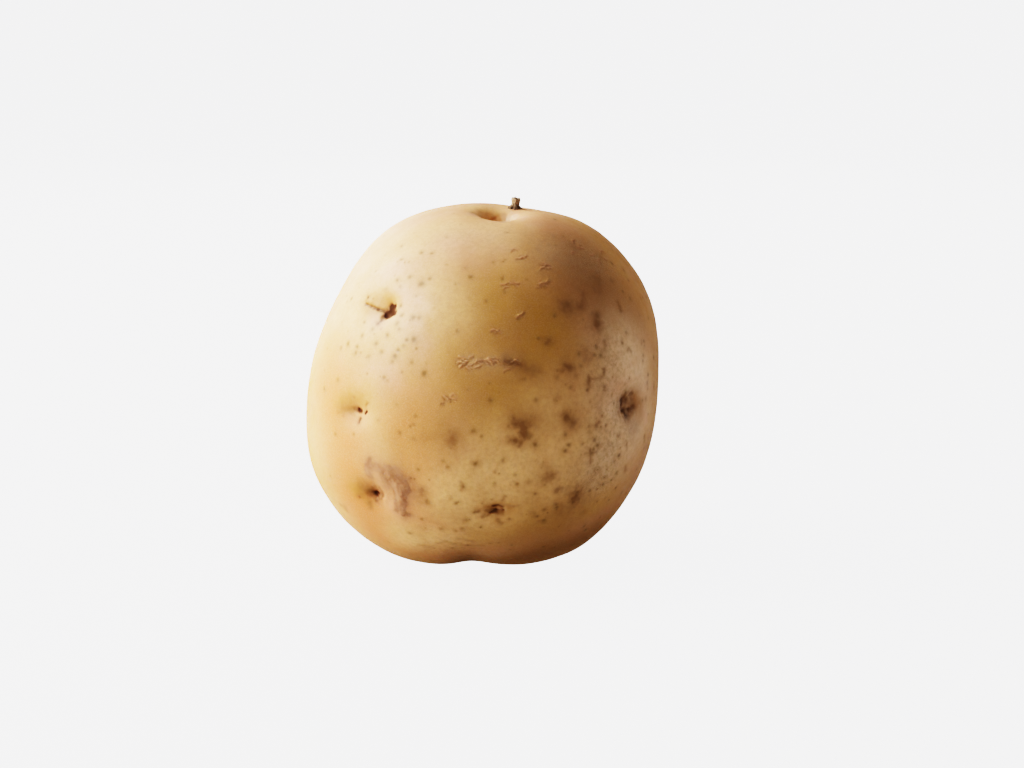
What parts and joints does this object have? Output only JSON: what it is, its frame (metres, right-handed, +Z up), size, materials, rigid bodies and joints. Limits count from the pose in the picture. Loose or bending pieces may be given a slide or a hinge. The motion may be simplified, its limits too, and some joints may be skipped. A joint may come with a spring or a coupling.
{
  "type": "potato",
  "caption": "Whole raw potato standing on its blunt end, with eyes, a hollow beside the stem end and a dried stub of its underground stem.",
  "frame": {"origin": "under the middle of the potato, on the surface that it rests on", "axes": "+Z up through the stem end, +X to the viewer's right, -Y towards the viewer in the picture"},
  "size_m": [0.0798, 0.0748, 0.0814],
  "materials": {
    "potato_skin": "thin tan skin with a soft sheen, pores, russet patches and darker eyes",
    "dried_stem": "dry, matt and fibrous, paler at the broken tip"
  },
  "bodies": {
    "root": {"tuber": "potato_skin", "stolon_stub": "dried_stem"}
  },
  "joints": []
}
